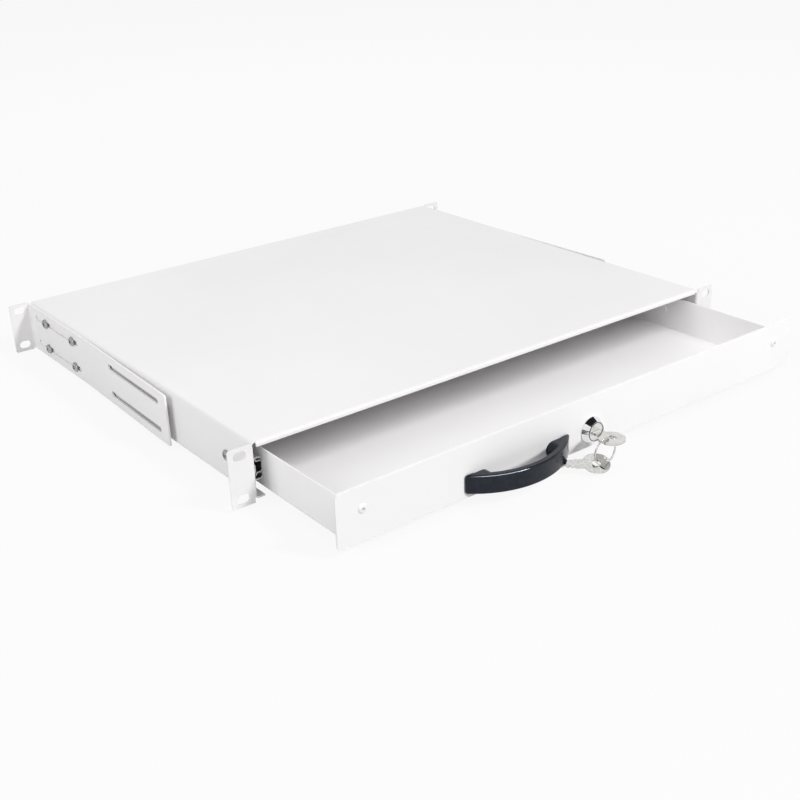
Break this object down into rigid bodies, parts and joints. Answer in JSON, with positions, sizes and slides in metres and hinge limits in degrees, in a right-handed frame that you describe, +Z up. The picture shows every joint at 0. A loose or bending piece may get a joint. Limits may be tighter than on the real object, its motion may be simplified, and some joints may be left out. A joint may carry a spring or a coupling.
{
  "type": "rack keyboard drawer",
  "caption": "Rack-mount sheet-metal drawer for a keyboard, on ball slides, with a bow handle, a keyed cam lock, slotted ears and adjustable rear brackets.",
  "frame": {"origin": "centre of the four front rack slots, on the front face of the ears", "axes": "+X to the right seen from the front, +Y to the back of the rack, +Z up"},
  "size_m": [0.4826, 0.5033, 0.045],
  "materials": {
    "powder_coat": "light grey powder coat, fine texture",
    "zinc_steel": "zinc plated",
    "ball_steel": "polished bearing steel",
    "screw_steel": "nickel plated",
    "rivet_alloy": "plain",
    "black_plastic": "satin gloss",
    "lock_chrome": "polished",
    "key_nickel": "nickel plated"
  },
  "bodies": {
    "housing": {"housing": "powder_coat", "lock_strike": "powder_coat", "slide_outer_left": "zinc_steel", "slide_outer_right": "zinc_steel", "slide_screws_left": "screw_steel", "slide_screws_right": "screw_steel", "bracket_screws_left": "screw_steel", "bracket_screws_right": "screw_steel"},
    "drawer": {"drawer_tray": "powder_coat", "front_panel": "powder_coat", "panel_rivets": "rivet_alloy", "handle": "black_plastic", "handle_screws": "screw_steel", "lock_body": "lock_chrome", "lock_nut": "zinc_steel", "slide_inner_left": "zinc_steel", "slide_inner_right": "zinc_steel", "slide_rivets_left": "rivet_alloy", "slide_rivets_right": "rivet_alloy"},
    "cage_left": {"ball_cage_left": "zinc_steel", "slide_balls_left": "ball_steel"},
    "cage_right": {"ball_cage_right": "zinc_steel", "slide_balls_right": "ball_steel"},
    "plug": {"lock_plug": "lock_chrome", "lock_cam": "zinc_steel", "cam_screw": "screw_steel"},
    "key": {"lock_key": "key_nickel"},
    "ring": {"key_ring": "key_nickel"},
    "spare": {"spare_key": "key_nickel"},
    "bracket_left": {"rear_bracket_left": "powder_coat"},
    "bracket_right": {"rear_bracket_right": "powder_coat"}
  },
  "joints": [
    {"name": "drawer_slide", "type": "slide", "parent": "housing", "child": "drawer", "axis": [0, -1, 0], "range_m": [-0.0925, 0.157]},
    {"name": "cage_left_slide", "type": "slide", "parent": "housing", "child": "cage_left", "axis": [0, -1, 0], "range_m": [-0.04625, 0.0785]},
    {"name": "cage_right_slide", "type": "slide", "parent": "housing", "child": "cage_right", "axis": [0, -1, 0], "range_m": [-0.04625, 0.0785]},
    {"name": "lock_turn", "type": "hinge", "parent": "drawer", "child": "plug", "pos_m": [-0.0025, -0.0945, -0.0045], "axis": [0, -1, 0], "range_deg": [0, 90]},
    {"name": "key_pull", "type": "slide", "parent": "plug", "child": "key", "axis": [0, -1, 0], "range_m": [0, 0.02]},
    {"name": "ring_swing", "type": "hinge", "parent": "key", "child": "ring", "pos_m": [-0.00877, -0.1144, -0.00231], "axis": [-1, 0, 0], "range_deg": [0, 30]},
    {"name": "spare_key_swing", "type": "hinge", "parent": "ring", "child": "spare", "pos_m": [-0.01768, -0.1144, -0.01685], "axis": [-0.454, 0, 0.891], "range_deg": [0, 40]},
    {"name": "bracket_left_slide", "type": "slide", "parent": "housing", "child": "bracket_left", "axis": [0, 1, 0], "range_m": [-0.021, 0.008]},
    {"name": "bracket_right_slide", "type": "slide", "parent": "housing", "child": "bracket_right", "axis": [0, 1, 0], "range_m": [-0.021, 0.008]}
  ],
  "couplings": [
    {"joint": "cage_left_slide", "follows": "drawer_slide", "ratio": 0.5},
    {"joint": "cage_right_slide", "follows": "drawer_slide", "ratio": 0.5}
  ]
}
